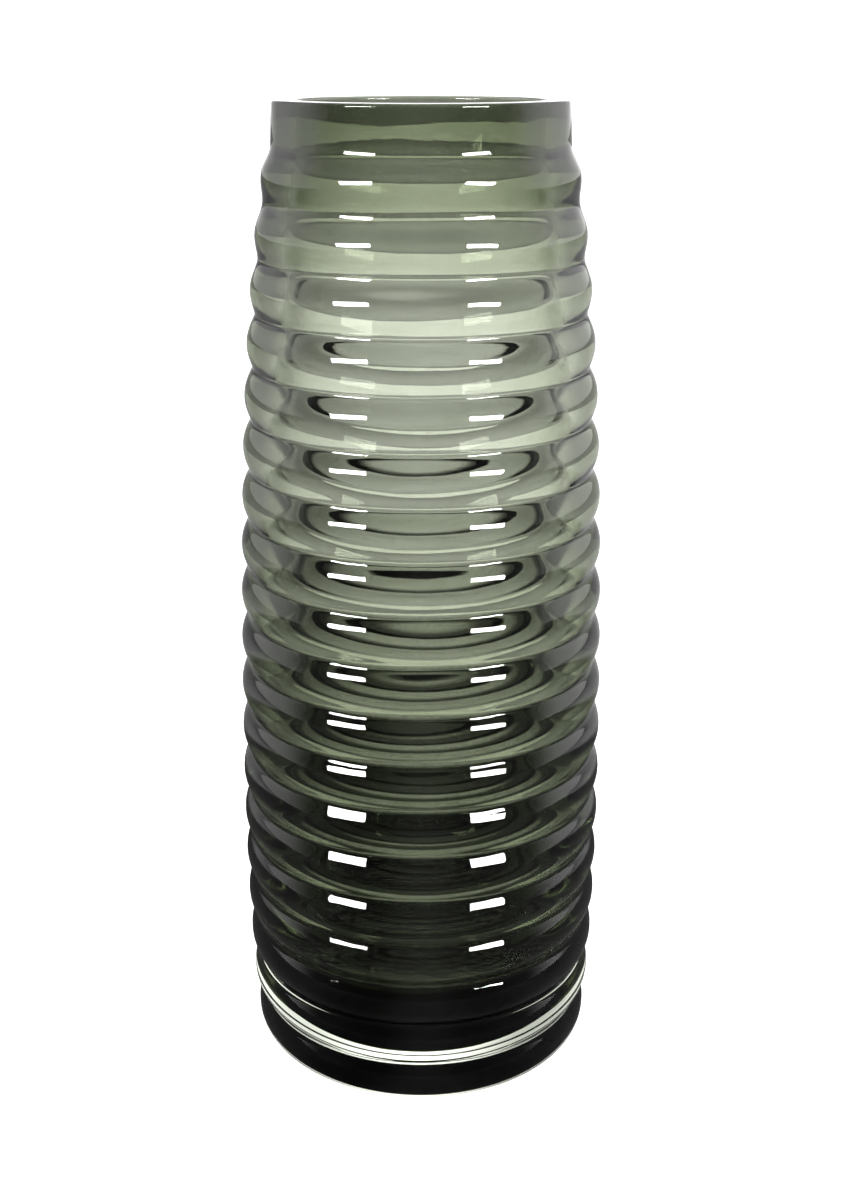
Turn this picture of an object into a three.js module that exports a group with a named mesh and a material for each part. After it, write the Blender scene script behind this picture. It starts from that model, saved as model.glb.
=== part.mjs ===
// Ribbed cylinder vase, mouth-blown in two layers of glass: a smoke-tinted inner bubble, and a thick
// clear casing that carries the ribs and the heavy base. Both layers end in one polished rim.
// Millimetres, +Z up. The origin is the centre of the base's underside.
import * as THREE from 'three';

// Overall size.
const HEIGHT = 350;
const RIM_RADIUS = 48.7; // outside of the rim

// Outline over the rib crests: its radius at five heights, the upper three measured down from the rim.
const FOOT_RADIUS = 66.7;
const FOOT_CREST = 6.8; // height of the lowest rib's crest
const BELLY_RADIUS = 68.8;
const BELLY_HEIGHT = 75;
const MIDDLE_RADIUS = 66.7;
const MIDDLE_DROP = 185;
const SHOULDER_RADIUS = 61.7;
const SHOULDER_DROP = 95;
const NECK_RADIUS = 52.9;
const COLLAR_HEIGHT = 22.8; // from the crest of the top rib to the rim
const COLLAR_RADIUS = 50; // outside of the collar where it meets the top rib; it tapers up to the rim

// Ribs, and the flat base that the vase stands on.
const RIB_COUNT = 19;
const FOOT_RIB_DEPTH = 2.9;
const HIGH_RIB_DEPTH = 2.2; // the depth lessens evenly up the vase towards this
const NECK_RIB_DEPTH = 1.5; // the top ribs are shallower still
const RIB_GROWTH = 60; // the stretch below the top crest where the neck ribs turn into full ones
const GROOVE_SHARE = 0.12; // how much of a groove its rounded bottom takes up
const COLLAR_BLEND = 9; // the top rib's slope up to the collar
const BASE_RADIUS = 62;

// Walls and floor. A wall is measured over the rib crests, and holds both layers.
const WALL_NECK = 10;
const WALL_BELLY = 12.6;
const RIM_WALL = 8;
const BORE_BLEND = 32; // the stretch below the rim where the bore narrows to the rim's
const CLEAR_BASE = 17; // clear glass under the bubble
const CORNER_RADIUS = 22; // inside corner between wall and floor

// The tinted layer's thickness: thick at the rim and floor, thin where the bubble was blown widest.
const TINT_RIM = 3.1;
const TINT_SHOULDER = 1.2;
const TINT_BELLY = 2.8;
const TINT_FLOOR = 11;
const TINT_RUN = 65; // the stretch below the rim where it thickens

// Allowance between the layers, which are fused all over, so that each stays a solid of its own.
const LAYER_GAP = 0.3;
const EDGE_RADIUS = 1; // polished edges of the rim

// Smoothness of the faceted solids.
const SIDES = 40;
const STEPS_PER_RIB = 4;
const WALL_STEPS = 14;
const CORNER_STEPS = 5;
const EDGE_STEPS = 2;

// Places that follow from the sizes above.
const TOP_CREST = HEIGHT - COLLAR_HEIGHT;
const RIB_PITCH = (TOP_CREST - FOOT_CREST) / (RIB_COUNT - 1);
const SHOULDER_HEIGHT = HEIGHT - SHOULDER_DROP;
const FLOOR_HEIGHT = CLEAR_BASE + LAYER_GAP + TINT_FLOOR;
const CORNER_TOP = FLOOR_HEIGHT + CORNER_RADIUS;
const STATIONS = [
  [FOOT_CREST, FOOT_RADIUS],
  [BELLY_HEIGHT, BELLY_RADIUS],
  [HEIGHT - MIDDLE_DROP, MIDDLE_RADIUS],
  [SHOULDER_HEIGHT, SHOULDER_RADIUS],
  [TOP_CREST, NECK_RADIUS],
];

const mix = (a, b, share) => a + (b - a) * share;

// Share of the way from one height to another, easing in and out.
const ease = (z, from, to) => THREE.MathUtils.smoothstep(z, from, to);

// The one smooth curve (a quartic) through the five stations.
function outlineRadius(z) {
  return STATIONS.reduce((sum, [height, radius], i) => {
    const weights = STATIONS.map(([other], j) => (j === i ? 1 : (z - other) / (height - other)));
    return sum + radius * weights.reduce((product, weight) => product * weight, 1);
  }, 0);
}

// Outside of the ribbed wall: the outline, less a groove half-way between crests. A full rib is a
// parabola whose flanks meet in a rounded groove. A neck rib is a plain wave.
function ribbedRadius(z) {
  const ribs = (TOP_CREST - z) / RIB_PITCH;
  const fromCrest = Math.abs(ribs - Math.round(ribs)) * 2;
  const neck = ease(z, TOP_CREST - RIB_GROWTH, TOP_CREST);
  const rise = (z - FOOT_CREST) / (TOP_CREST - FOOT_CREST);
  const depth = mix(mix(FOOT_RIB_DEPTH, HIGH_RIB_DEPTH, rise), NECK_RIB_DEPTH, neck);
  const fall = Math.max(1 - Math.hypot(1 - fromCrest, GROOVE_SHARE), 0) / (1 - GROOVE_SHARE);
  const wave = (1 - Math.cos(Math.PI * fromCrest)) / 2;
  return outlineRadius(z) - depth * mix(fall ** 2, wave, neck);
}

// Outside of the plain collar, which tapers up from the top rib to the rim.
function collarRadius(z) {
  return mix(COLLAR_RADIUS, RIM_RADIUS, (z - TOP_CREST) / (HEIGHT - EDGE_RADIUS - TOP_CREST));
}

// Inside of the vase above its corner: the outline less the wall, narrowing to the rim's bore.
function boreRadius(z) {
  const wall = mix(WALL_BELLY, WALL_NECK, ease(z, BELLY_HEIGHT, TOP_CREST));
  const body = outlineRadius(Math.min(z, TOP_CREST)) - wall;
  return mix(body, RIM_RADIUS - RIM_WALL, ease(z, HEIGHT - BORE_BLEND, HEIGHT));
}

// Thickness of the tinted layer on the wall.
function tintThickness(z) {
  const lower = mix(TINT_BELLY, TINT_SHOULDER, ease(z, BELLY_HEIGHT, SHOULDER_HEIGHT));
  return mix(lower, TINT_RIM, ease(z, HEIGHT - TINT_RUN, HEIGHT));
}

// Points of an ellipse's quarter round (r, z), from one angle to another.
function arc(r, z, radiusAcross, radiusUp, from, to, steps) {
  return Array.from({ length: steps + 1 }, (_, i) => {
    const angle = mix(from, to, i / steps);
    return new THREE.Vector2(r + radiusAcross * Math.cos(angle), z + radiusUp * Math.sin(angle));
  });
}

// A cup-shaped surface parallel to the inside of the vase, from below the rim's edge to the axis:
// offset(z) outside it on the wall, and floorOffset under the floor.
function cup(top, offset, floorOffset) {
  const wall = Array.from({ length: WALL_STEPS }, (_, i) => {
    const z = mix(top, CORNER_TOP, i / WALL_STEPS);
    return new THREE.Vector2(boreRadius(z) + offset(z), z);
  });
  const across = CORNER_RADIUS + offset(CORNER_TOP);
  const centre = boreRadius(CORNER_TOP) - CORNER_RADIUS;
  const up = CORNER_RADIUS + floorOffset;
  const corner = arc(centre, CORNER_TOP, across, up, 0, -Math.PI / 2, CORNER_STEPS);
  return [...wall, ...corner, new THREE.Vector2(0, CORNER_TOP - up)];
}

// Outside of the casing, from the axis under the base to the rim's outer edge.
function outside() {
  const foot = arc(BASE_RADIUS, FOOT_CREST, ribbedRadius(FOOT_CREST) - BASE_RADIUS, FOOT_CREST,
    -Math.PI / 2, 0, CORNER_STEPS);
  const ribSteps = (RIB_COUNT - 1) * STEPS_PER_RIB;
  const ribs = Array.from({ length: ribSteps }, (_, i) => {
    const z = mix(FOOT_CREST, TOP_CREST, (i + 1) / ribSteps);
    return new THREE.Vector2(ribbedRadius(z), z);
  });
  const slope = Array.from({ length: STEPS_PER_RIB }, (_, i) => {
    const z = TOP_CREST + COLLAR_BLEND * (i + 1) / STEPS_PER_RIB;
    const share = ease(z, TOP_CREST, TOP_CREST + COLLAR_BLEND);
    return new THREE.Vector2(mix(NECK_RADIUS, collarRadius(z), share), z);
  });
  const edge = arc(RIM_RADIUS - EDGE_RADIUS, HEIGHT - EDGE_RADIUS, EDGE_RADIUS, EDGE_RADIUS,
    0, Math.PI / 2, EDGE_STEPS);
  return [new THREE.Vector2(0, 0), ...foot, ...ribs, ...slope, ...edge];
}

// A solid turned about the vase's axis.
function turned(name, profile, material) {
  const geometry = new THREE.LatheGeometry(profile, SIDES).rotateX(Math.PI / 2);
  const mesh = new THREE.Mesh(geometry, material);
  mesh.name = name;
  return mesh;
}

// Clear casing: the ribbed outside, the rim, and an inside that fits over the bubble.
function clearCasing() {
  const overBubble = (z) => tintThickness(z) + LAYER_GAP;
  const inside = cup(HEIGHT, overBubble, TINT_FLOOR + LAYER_GAP);
  const glass = new THREE.MeshStandardMaterial({ color: 0xdfe6e0, roughness: 0.04, metalness: 0 });
  return turned('clear_casing', [...outside(), ...inside], glass);
}

// Tinted bubble: its outside, from the axis up to the rim, then its polished edge and its inside.
function tintedBubble() {
  const skin = cup(HEIGHT, tintThickness, TINT_FLOOR).reverse();
  const top = HEIGHT - EDGE_RADIUS;
  const edge = arc(boreRadius(top) + EDGE_RADIUS, top, EDGE_RADIUS, EDGE_RADIUS,
    Math.PI / 2, Math.PI, EDGE_STEPS);
  const inside = cup(top, () => 0, 0).slice(1);
  const glass = new THREE.MeshStandardMaterial({ color: 0x5a6150, roughness: 0.04, metalness: 0 });
  return turned('tinted_bubble', [...skin, ...edge, ...inside], glass);
}

const vase = new THREE.Group();
vase.add(clearCasing(), tintedBubble());

export default vase;
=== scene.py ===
import math

import bpy
import numpy as np
from mathutils import Matrix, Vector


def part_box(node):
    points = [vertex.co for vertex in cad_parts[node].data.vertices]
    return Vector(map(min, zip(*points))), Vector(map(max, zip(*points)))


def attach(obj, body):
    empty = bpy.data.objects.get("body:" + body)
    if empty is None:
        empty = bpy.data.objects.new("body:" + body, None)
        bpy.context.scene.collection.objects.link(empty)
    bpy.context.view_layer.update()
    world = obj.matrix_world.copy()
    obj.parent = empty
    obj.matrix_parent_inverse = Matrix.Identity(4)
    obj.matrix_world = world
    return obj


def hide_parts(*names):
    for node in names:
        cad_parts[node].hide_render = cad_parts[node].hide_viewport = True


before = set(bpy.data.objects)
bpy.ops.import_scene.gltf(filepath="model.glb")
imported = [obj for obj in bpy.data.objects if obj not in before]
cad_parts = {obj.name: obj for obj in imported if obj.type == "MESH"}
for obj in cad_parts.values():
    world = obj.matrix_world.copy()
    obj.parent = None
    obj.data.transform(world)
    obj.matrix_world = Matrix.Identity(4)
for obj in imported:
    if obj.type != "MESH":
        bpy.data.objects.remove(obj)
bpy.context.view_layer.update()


# ---- Smoke bubble -------------------------------------------------------------------------------
# The inner gather: a closed-bottomed bubble of smoke grey-green glass, the inside wall and floor of
# the vase. Blown first, it stayed thick at the rim and in the floor and drew out thin between them.

MM = 0.001
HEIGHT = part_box("clear_casing")[1].z
RIM_RADIUS = 48.7 * MM  # outside of the rim

# The outline over the rib crests: heights and radii at five stations, from the foot to the neck.
FOOT_CREST, FOOT_RADIUS = 6.8 * MM, 66.7 * MM
BELLY_HEIGHT, BELLY_RADIUS = 75 * MM, 68.8 * MM
MIDDLE_HEIGHT, MIDDLE_RADIUS = HEIGHT - 185 * MM, 66.7 * MM
SHOULDER_HEIGHT, SHOULDER_RADIUS = HEIGHT - 95 * MM, 61.7 * MM
TOP_CREST, NECK_RADIUS = HEIGHT - 22.8 * MM, 52.9 * MM

# Wall over the rib crests, both layers together, and the inside of the vase.
WALL_NECK, WALL_BELLY, RIM_WALL = 10 * MM, 12.6 * MM, 8 * MM
BORE_BLEND = 32 * MM  # the stretch below the rim where the bore narrows to the rim's
FLOOR_HEIGHT = 28.3 * MM
CORNER_RADIUS = 22 * MM  # inside corner between wall and floor
EDGE_RADIUS = 1 * MM  # polished edges of the rim

# Thickness of the smoke layer, and the stretch below the rim where it thickens.
TINT_RIM, TINT_SHOULDER, TINT_BELLY, TINT_FLOOR = 3.1 * MM, 1.2 * MM, 2.8 * MM, 11 * MM
TINT_RUN = 65 * MM

# The layers are fused, with no surface between them to bend the light. So the casing's mesh is the
# whole vase, bore and all, and the bubble's is a shell this far inside it that only takes up light.
FUSED = 0.05 * MM

# Blown glass isn't quite round. It drifts in and out by three slow waves: how many go round the
# vase, the radians for a metre of height, and the start. They die out at the top, over LIP_RUN.
UNEVEN = 0.12 * MM
DRIFTS = ((3, 50, 0), (5, -90, 1), (2, 140, 2))
LIP_RUN = 40 * MM

SIDES = 192
WALL_STEPS, CORNER_STEPS, FLOOR_STEPS, EDGE_STEPS = 64, 24, 12, 8

OUTLINE = np.polyfit(
    [FOOT_CREST, BELLY_HEIGHT, MIDDLE_HEIGHT, SHOULDER_HEIGHT, TOP_CREST],
    [FOOT_RADIUS, BELLY_RADIUS, MIDDLE_RADIUS, SHOULDER_RADIUS, NECK_RADIUS],
    4,
)


def ease(z, start, end):
    """Share of the way from start to end: 3t^2 - 2t^3, with t the clipped share of the height."""
    t = np.clip((z - start) / (end - start), 0, 1)
    return t * t * (3 - 2 * t)


def mix(a, b, share):
    """a plus share of the way to b."""
    return a + (b - a) * share


def bore_radius(z):
    """Inside radius: the quartic through the outline's five stations, less a wall that thins
    towards the neck, eased into the rim's bore over the last stretch."""
    wall = mix(WALL_BELLY, WALL_NECK, ease(z, BELLY_HEIGHT, TOP_CREST))
    body = np.polyval(OUTLINE, np.minimum(z, TOP_CREST)) - wall
    return mix(body, RIM_RADIUS - RIM_WALL, ease(z, HEIGHT - BORE_BLEND, HEIGHT))


def tint_thickness(z):
    """Thickness of the smoke layer on the wall, eased from belly to shoulder to rim."""
    lower = mix(TINT_BELLY, TINT_SHOULDER, ease(z, BELLY_HEIGHT, SHOULDER_HEIGHT))
    return mix(lower, TINT_RIM, ease(z, HEIGHT - TINT_RUN, HEIGHT))


def arc(r, z, across, up, start, end, steps):
    """Points (r + across cos a, z + up sin a), with a running from start to end."""
    a = np.linspace(start, end, steps + 1)
    return np.stack([r + across * np.cos(a), z + up * np.sin(a)], 1)


def cup(top, offset, floor_offset):
    """A surface parallel to the inside of the vase, from height top down to the axis: offset(z)
    outside it on the wall, floor_offset below the floor, and a quarter ellipse between the two."""
    corner_top = FLOOR_HEIGHT + CORNER_RADIUS
    z = np.linspace(top, corner_top, WALL_STEPS, endpoint=False)
    wall = np.stack([bore_radius(z) + offset(z), z], 1)
    centre = bore_radius(corner_top) - CORNER_RADIUS
    across = CORNER_RADIUS + offset(corner_top)
    up = CORNER_RADIUS + floor_offset
    corner = arc(centre, corner_top, across, up, 0, -math.pi / 2, CORNER_STEPS)
    floor = np.linspace(corner[-1], (0, corner[-1][1]), FLOOR_STEPS)[1:]
    return np.concatenate([wall, corner, floor])


def polished_edge(radius, top, start, end):
    """A quarter round of the rim, EDGE_RADIUS below top and about the given radius."""
    return arc(radius, top - EDGE_RADIUS, EDGE_RADIUS, EDGE_RADIUS, start, end, EDGE_STEPS)


def turned(name, moulded, blown):
    """A profile of (r, z) points, first and last on the axis, turned about Z into a closed solid:
    x = r cos a and y = r sin a, each end one point joined to its ring by a fan. The rings of its
    blown part drift in and out by the sum of the waves sin(count a + rise z + start)."""
    a = np.arange(SIDES) * 2 * np.pi / SIDES
    profile = np.concatenate([moulded, blown])
    r, z = profile[1:-1].T[:, :, None]
    is_blown = (np.arange(len(r)) >= len(moulded) - 1)[:, None]
    free = is_blown * (1 - ease(z, HEIGHT - LIP_RUN, HEIGHT))
    waves = sum(np.sin(count * a + rise * z + start) for count, rise, start in DRIFTS)
    r = r * (1 + UNEVEN / RIM_RADIUS * free * waves)
    rings = np.stack([r * np.cos(a), r * np.sin(a), z + 0 * a], 2).reshape(-1, 3)
    poles = [(0, 0, profile[0][1]), (0, 0, profile[-1][1])]
    here = np.arange(len(rings)).reshape(-1, SIDES)
    beside = np.roll(here, -1, 1)
    quads = np.stack([here[:-1], beside[:-1], beside[1:], here[1:]], 2).reshape(-1, 4)
    first = np.stack([np.full(SIDES, len(rings)), beside[0], here[0]], 1)
    last = np.stack([np.full(SIDES, len(rings) + 1), here[-1], beside[-1]], 1)
    faces = quads.tolist() + first.tolist() + last.tolist()
    mesh = bpy.data.meshes.new(name)
    mesh.from_pydata(np.concatenate([rings, poles]).tolist(), [], faces)
    mesh.polygons.foreach_set("use_smooth", np.ones(len(faces), bool))
    piece = bpy.data.objects.new(name, mesh)
    bpy.context.collection.objects.link(piece)
    return piece


bubble_top = HEIGHT - FUSED
skin = cup(bubble_top, tint_thickness, TINT_FLOOR)[::-1]
bore_edge = bore_radius(bubble_top - EDGE_RADIUS) + FUSED + EDGE_RADIUS
lip = polished_edge(bore_edge, bubble_top, math.pi / 2, math.pi)
inside = cup(bubble_top - EDGE_RADIUS, lambda z: FUSED, FUSED)[1:]
bubble = turned("smoke_bubble", skin[:1], np.concatenate([skin[1:], lip, inside]))


class Wire:
    """A socket of a material, with arithmetic on it, and node() for every other node."""

    def __init__(self, tree, socket=None):
        self.tree, self.socket = tree, socket

    def node(self, kind, settings, values, output=0):
        """A new node: its settings first, then its inputs' values or links. Gives its output."""
        made = self.tree.nodes.new("ShaderNode" + kind)
        for name, setting in settings.items():
            setattr(made, name, setting)
        for key, value in values.items():
            if isinstance(value, Wire):
                self.tree.links.new(value.socket, made.inputs[key])
            else:
                made.inputs[key].default_value = value
        return Wire(self.tree, made.outputs[output])

    def __add__(self, other):
        return self.node("Math", {"operation": "ADD"}, {0: self, 1: other})

    def __mul__(self, other):
        return self.node("Math", {"operation": "MULTIPLY"}, {0: self, 1: other})

    __rmul__ = __mul__


def feed(shader, name, wire):
    """Let a wire set one of a shader's inputs."""
    wire.tree.links.new(wire.socket, shader.inputs[name])


def eased(wire, start, end, low, high):
    """low where the wire is at start or before it, easing to high at end, by 3t^2 - 2t^3."""
    return wire.node("MapRange", {"interpolation_type": "SMOOTHSTEP"},
                     {0: wire, 1: start, 2: end, 3: low, 4: high})


def along(vector, axis):
    """A vector's X, Y or Z."""
    return vector.node("SeparateXYZ", {}, {0: vector}, axis)


def dot(vector, other):
    """The dot product of two vectors."""
    product = {"operation": "DOT_PRODUCT"}
    return vector.node("VectorMath", product, {0: vector, 1: other}, "Value")


def streaks(wire, across, up, twist):
    """Drawn-out noise, 0 to 1, in the object's own space: so many to the metre across and up,
    wound slowly round the vase by adding a share of x to z."""
    place = wire.node("TexCoord", {}, {}, "Object")
    x, y, wound = along(place, "X"), along(place, "Y"), dot(place, (twist, 0, 1))
    drawn = wire.node("CombineXYZ", {}, {0: x * across, 1: y * across, 2: wound * up})
    return wire.node("TexNoise", {}, {"Vector": drawn, "Scale": 1, "Detail": 3, "Roughness": 0.5})


def tinted_between(share, light, dark):
    """A colour: light where share is 0, and dark where it is 1."""
    return share.node("Mix", {"data_type": "RGBA"}, {"Factor": share, 6: light, 7: dark}, 2)


def glass(name, index):
    """A material of clear, polished glass: the material, its shader and a Wire to build on."""
    material = bpy.data.materials.new(name)
    material.use_nodes = True
    tree = material.node_tree
    shader = tree.nodes["Principled BSDF"]
    shader.inputs["IOR"].default_value = index
    shader.inputs["Transmission Weight"].default_value = 1
    return material, shader, Wire(tree)


def absorb(wire, colour, density):
    """Give a glass its body colour: light fades by exp(-density (1 - colour)) a metre."""
    body = wire.node("VolumeAbsorption", {}, {"Color": colour, "Density": density})
    feed(wire.tree.nodes["Material Output"], "Volume", body)


SMOKE_COLOR, SMOKE_DENSITY = (0.645, 0.672, 0.588, 1), 1000
SMOKE_INDEX = 1.0  # bends no light, because the casing's surfaces do that for both

# Smoky wisps: how many to the metre across and up, and their twist; then the noise levels that
# they fade in between. Cords, smudges and ripples are given likewise.
WISPS, WISP_START, WISP_END = (14, 40, 0.3), 0.45, 0.75
WISP_CLEAR, WISP_SMOKY = (1, 1, 1, 1), (0.9, 0.91, 0.88, 1)

smoke, shader, wire = glass("smoke_glass", SMOKE_INDEX)
absorb(wire, SMOKE_COLOR, SMOKE_DENSITY)
shader.inputs["Roughness"].default_value = 0
wisps = eased(streaks(wire, *WISPS), WISP_START, WISP_END, 0, 1)
feed(shader, "Base Color", tinted_between(wisps, WISP_CLEAR, WISP_SMOKY))
bubble.data.materials.append(smoke)
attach(bubble, "root")
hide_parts("tinted_bubble")


# ---- Clear casing -------------------------------------------------------------------------------
# The outer gather of clear glass, fused over the bubble and blown into a ribbed mould: nineteen
# ribs, the lowest of them the foot, a plain collar above, and a solid base below the bubble.

RIB_COUNT = 19
RIB_PITCH = (TOP_CREST - FOOT_CREST) / (RIB_COUNT - 1)
FOOT_RIB_DEPTH, HIGH_RIB_DEPTH, NECK_RIB_DEPTH = 2.9 * MM, 2.2 * MM, 1.5 * MM
RIB_GROWTH = 60 * MM  # the stretch below the top crest where the neck ribs turn into full ones
GROOVE_SHARE = 0.12  # how much of a groove its rounded bottom takes up
COLLAR_RADIUS = 50 * MM  # outside of the collar at the top rib; it tapers up to the rim
COLLAR_BLEND = 9 * MM  # the top rib's slope up to the collar
BASE_RADIUS = 62 * MM  # the flat that the vase stands on
RIB_STEPS, FOOT_STEPS, COLLAR_STEPS = 16, 12, 16
GROOVE_CROWDING = 1.5  # 1 spaces a rib's points evenly; more crowds them into the grooves


def ribbed_radius(z):
    """The outline less the groove between two ribs, whose depth lessens up the vase. Away from its
    crest a rib falls off as the square of the distance, rounded into the groove by a hyperbola,
    and the top ribs turn into a shallow cosine wave."""
    ribs = (TOP_CREST - z) / RIB_PITCH
    away = np.abs(ribs - np.round(ribs)) * 2
    neck = ease(z, TOP_CREST - RIB_GROWTH, TOP_CREST)
    rise = (z - FOOT_CREST) / (TOP_CREST - FOOT_CREST)
    depth = mix(mix(FOOT_RIB_DEPTH, HIGH_RIB_DEPTH, rise), NECK_RIB_DEPTH, neck)
    fall = np.maximum(1 - np.hypot(1 - away, GROOVE_SHARE), 0) / (1 - GROOVE_SHARE)
    wave = (1 - np.cos(np.pi * away)) / 2
    return np.polyval(OUTLINE, z) - depth * mix(fall ** 2, wave, neck)


def outside():
    """The casing's outside, from the axis up to the rim: the flat base, a quarter ellipse to the
    foot's crest, the ribs, a slope eased from the top rib into a straight taper, the rim's edge."""
    across = FOOT_RADIUS - BASE_RADIUS
    foot = arc(BASE_RADIUS, FOOT_CREST, across, FOOT_CREST, -math.pi / 2, 0, FOOT_STEPS)
    base = np.linspace((0, 0), foot[0], FLOOR_STEPS)[:-1]
    from_groove = np.linspace(-1, 1, RIB_STEPS + 1)[1:]
    crowded = np.sign(from_groove) * np.abs(from_groove) ** GROOVE_CROWDING
    ribs_up = np.arange(RIB_COUNT - 1)[:, None] + (0.5 + 0.5 * crowded)
    z = (FOOT_CREST + ribs_up * RIB_PITCH).ravel()
    ribs = np.stack([ribbed_radius(z), z], 1)
    collar_top = HEIGHT - EDGE_RADIUS
    z = np.linspace(TOP_CREST, collar_top, COLLAR_STEPS + 1)[1:-1]
    taper = mix(COLLAR_RADIUS, RIM_RADIUS, (z - TOP_CREST) / (collar_top - TOP_CREST))
    slope = mix(NECK_RADIUS, taper, ease(z, TOP_CREST, TOP_CREST + COLLAR_BLEND))
    collar = np.stack([slope, z], 1)
    edge = polished_edge(RIM_RADIUS - EDGE_RADIUS, HEIGHT, 0, math.pi / 2)
    return np.concatenate([base, foot, ribs, collar, edge])


bore_edge = bore_radius(HEIGHT - EDGE_RADIUS) + EDGE_RADIUS
lip = polished_edge(bore_edge, HEIGHT, math.pi / 2, math.pi)
inside = cup(HEIGHT - EDGE_RADIUS, lambda z: 0, 0)[1:]
casing = turned("ribbed_casing", outside(), np.concatenate([lip, inside]))

CLEAR_COLOR, CLEAR_DENSITY = (0.93, 0.955, 0.89, 1), 16
CLEAR_INDEX = 1.5

# Grey cords wound through the glass, and seeds, which are specks of trapped air.
CORDS, CORD_START, CORD_END, CORD_SHARE = (5, 260, 0.12), 0.55, 0.72, 0.7
CORD_CLEAR, CORD_GREY = (1, 1, 1, 1), (0.9, 0.91, 0.89, 1)
SEEDS_PER_METRE, SEED_SIZE = 45, 0.022  # the size is a share of the space between seeds

# Smudges left by handling, and the ripples of a surface that was blown.
SMUDGES, SMUDGE_START, SMUDGE_END = (30, 22, 0.5), 0.56, 0.72
SMUDGE_ROUGHNESS = 0.012
BROAD_RIPPLES, FINE_RIPPLES, FINE_SHARE = (24, 60, 0.3), (8, 320, 0.12), 0.4
RIPPLE_HEIGHT = 0.03 * MM

clear, shader, wire = glass("clear_glass", CLEAR_INDEX)
absorb(wire, CLEAR_COLOR, CLEAR_DENSITY)
place = wire.node("TexCoord", {}, {}, "Object")
seeds = wire.node("TexVoronoi", {}, {"Vector": place, "Scale": SEEDS_PER_METRE}, "Distance")
cords = eased(streaks(wire, *CORDS), CORD_START, CORD_END, 0, CORD_SHARE)
marks = cords + eased(seeds, 0, SEED_SIZE, 1, 0)
smudges = eased(streaks(wire, *SMUDGES), SMUDGE_START, SMUDGE_END, 0, SMUDGE_ROUGHNESS)
ripples = streaks(wire, *BROAD_RIPPLES) + FINE_SHARE * streaks(wire, *FINE_RIPPLES)
bump = wire.node("Bump", {}, {"Strength": 1, "Distance": RIPPLE_HEIGHT, "Height": ripples})
feed(shader, "Base Color", tinted_between(marks, CORD_CLEAR, CORD_GREY))
feed(shader, "Roughness", smudges)
feed(shader, "Normal", bump)
casing.data.materials.append(clear)
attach(casing, "root")
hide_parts("clear_casing")


# ---- Floor --------------------------------------------------------------------------------------
# A plain pale tabletop, as white to the camera as the room behind it. To every other ray, and so
# through the glass, its colour has painted light by direction as the room is lit, and painted
# shade until well behind the vase.

FLOOR_REACH, FLOOR_DROP = 12, 0.2 * MM
FLOOR_ALBEDO = 0.9
FLOOR_LIFT = 0.8  # glow that the camera alone sees
SHADE_START, SHADE_END = 0.22, 0.36  # the stretch behind the vase, in metres, where it lifts
SHADE_LIGHT = 0.16  # the share of light left in the shade

# A compass direction is the X of a level unit vector: 0 straight behind, 1 or -1 at right angles.
LEFT_DIM, LEFT_FULL, LEFT_LIGHT = -0.45, 0, 0.35
RIGHT_FULL, RIGHT_DIM, RIGHT_LIGHT = 0.08, 0.5, 0.55
SIDE_START, SIDE_END, SIDE_LIGHT = 0.6, 0.95, 0.35


def backdrop_light(way):
    """Brightness by compass direction: full straight behind the vase, dimmer on either side and
    most on the left, and brighter again at right angles to the view."""
    level = way.node("VectorMath", {"operation": "MULTIPLY"}, {0: way, 1: (1, 1, 0)})
    level = level.node("VectorMath", {"operation": "NORMALIZE"}, {0: level})
    across = along(level, "X")
    aside = across.node("Math", {"operation": "ABSOLUTE"}, {0: across})
    left = eased(across, LEFT_DIM, LEFT_FULL, LEFT_LIGHT, 1)
    right = eased(across, RIGHT_FULL, RIGHT_DIM, 1, RIGHT_LIGHT)
    return left * right + eased(aside, SIDE_START, SIDE_END, 0, SIDE_LIGHT)


def brighter(one, other):
    """The larger of two numbers."""
    return one.node("Math", {"operation": "MAXIMUM"}, {0: one, 1: other})


mesh = bpy.data.meshes.new("floor")
corners = np.array([(-1, -1), (1, -1), (1, 1), (-1, 1)]) * FLOOR_REACH
mesh.from_pydata([(x, y, -FLOOR_DROP) for x, y in corners.tolist()], [], [(0, 1, 2, 3)])
floor = bpy.data.objects.new("floor", mesh)
bpy.context.collection.objects.link(floor)

paint = bpy.data.materials.new("floor")
paint.use_nodes = True
wire = Wire(paint.node_tree)
shader = paint.node_tree.nodes["Principled BSDF"]
shader.inputs["Roughness"].default_value = 1
shader.inputs["Specular IOR Level"].default_value = 0
shader.inputs["Emission Strength"].default_value = 1
position = wire.node("NewGeometry", {}, {}, "Position")
# Painted shade: the floor's colour darkens from the front to just behind the vase.
painted_shade = eased(along(position, "Y"), SHADE_START, SHADE_END, SHADE_LIGHT, 1)
seen = wire.node("LightPath", {}, {}, "Is Camera Ray")
# Painted light and shade, for all rays but the camera's: the room's brightness by direction.
feed(shader, "Base Color", brighter(painted_shade * backdrop_light(position), seen) * FLOOR_ALBEDO)
feed(shader, "Emission Color", seen * FLOOR_LIFT)
mesh.materials.append(paint)


# ---- Studio light -------------------------------------------------------------------------------
# A pale room, white to the camera. To every other ray it is lit by compass direction, and dark
# behind the camera. Two lamp panels stand far off in front, one on either side.

ROOM_LIGHT = 1.95
DARK_WAY, DARK_LIGHT = (0, -0.94, 0.34), 0.08
DARK_EDGE, DARK_CORE = -0.1, 0.4  # cosines of the angle from DARK_WAY
GLASS_BOUNCES, GLOSS_BOUNCES = 40, 16

world = bpy.data.worlds.new("room")
bpy.context.scene.world = world
world.use_nodes = True
wire = Wire(world.node_tree)
background = world.node_tree.nodes["Background"]
background.inputs["Strength"].default_value = ROOM_LIGHT
way = wire.node("TexCoord", {}, {}, "Generated")
dark = eased(dot(way, DARK_WAY), DARK_EDGE, DARK_CORE, 1, DARK_LIGHT)
seen = wire.node("LightPath", {}, {}, "Is Camera Ray")
feed(background, "Color", brighter(dark * backdrop_light(way), seen))

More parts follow.
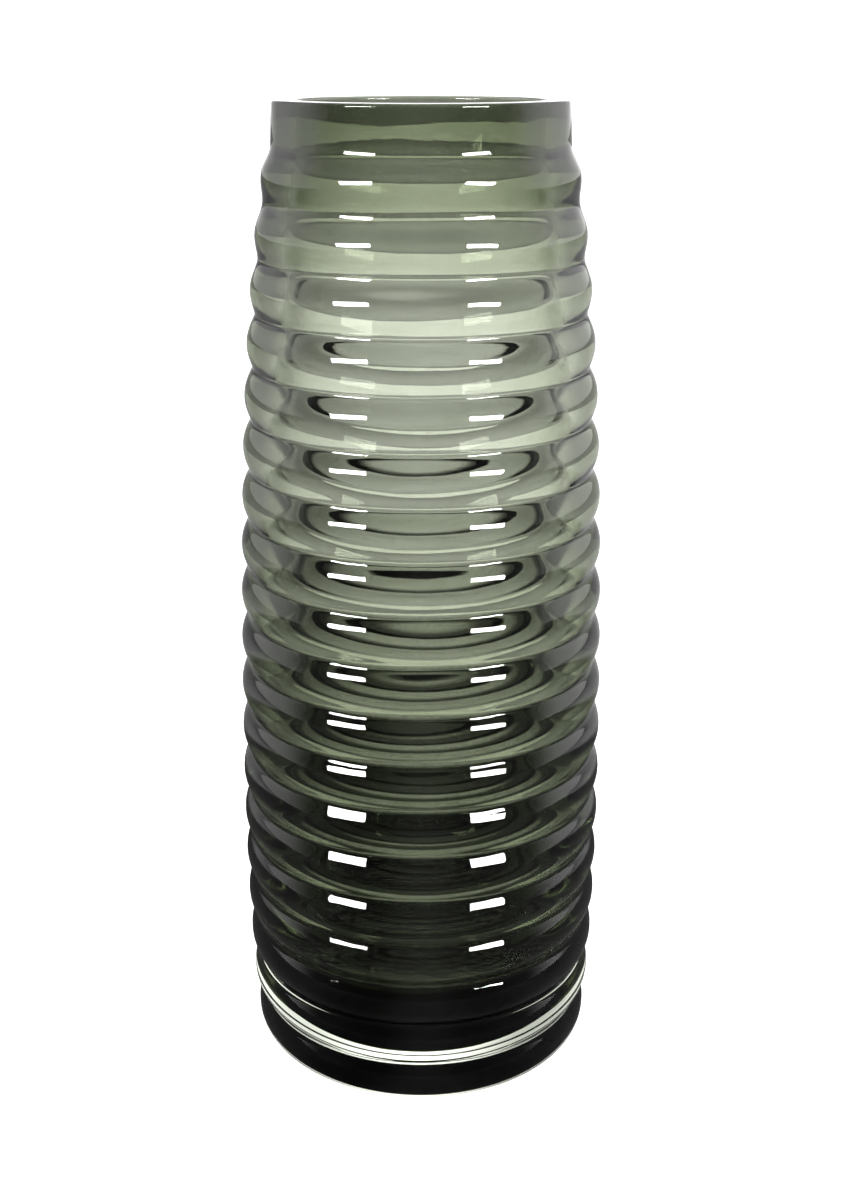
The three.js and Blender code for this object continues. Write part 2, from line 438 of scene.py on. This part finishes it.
cycles = bpy.context.scene.cycles
cycles.max_bounces = GLASS_BOUNCES
cycles.transmission_bounces = GLASS_BOUNCES
cycles.glossy_bounces = GLOSS_BOUNCES

PANEL_DISTANCE, PANEL_HEIGHT = 3.3, 0.2  # metres, from a point at this height on the vase's axis
PANEL_ELEVATION, PANEL_ROLL = 16.3, 12  # degrees
PANEL_TALL, PANEL_RADIANCE = 0.5, 65


def panel(name, azimuth, width):
    """A lamp panel facing the vase, azimuth degrees round from the camera's side, and rolled so
    that its outer end hangs lower. A panel's energy is its radiance times its area times pi."""
    light = bpy.data.lights.new(name, "AREA")
    light.shape = "RECTANGLE"
    light.size, light.size_y = width, PANEL_TALL
    light.energy = PANEL_RADIANCE * width * PANEL_TALL * math.pi
    lamp = bpy.data.objects.new(name, light)
    a, e = math.radians(azimuth), math.radians(PANEL_ELEVATION)
    way = np.array([math.sin(a) * math.cos(e), -math.cos(a) * math.cos(e), math.sin(e)])
    lamp.location = way * PANEL_DISTANCE + (0, 0, PANEL_HEIGHT)
    turn = Matrix.Rotation(a, 3, "Z") @ Matrix.Rotation(math.pi / 2 - e, 3, "X")
    roll = Matrix.Rotation(math.radians(math.copysign(PANEL_ROLL, -azimuth)), 3, "Z")
    lamp.rotation_euler = (turn @ roll).to_euler()
    bpy.context.collection.objects.link(lamp)


panel("panel_left", -47, 1.4)
panel("panel_right", 42, 1.25)


# ---- Camera -------------------------------------------------------------------------------------
# It stands close in front of the vase, a little above the rim, and looks down at it.

CAMERA_PLACE = (0, -0.525, 0.36385)
CAMERA_DIP = 0.415  # radians below level
SENSOR_HEIGHT, LENS = 36, 44.87  # millimetres
SHIFT_X, SHIFT_Y = 0.0008, 0.0929
CLIP_START = 0.01

camera = bpy.data.cameras.new("camera")
camera.sensor_fit = "VERTICAL"
camera.sensor_height, camera.lens = SENSOR_HEIGHT, LENS
camera.shift_x, camera.shift_y = SHIFT_X, SHIFT_Y
camera.clip_start = CLIP_START
eye = bpy.data.objects.new("camera", camera)
eye.location = CAMERA_PLACE
eye.rotation_euler = (math.pi / 2 - CAMERA_DIP, 0, 0)
bpy.context.collection.objects.link(eye)

bpy.context.scene.camera = eye
bpy.context.scene.view_settings.view_transform = "Standard"
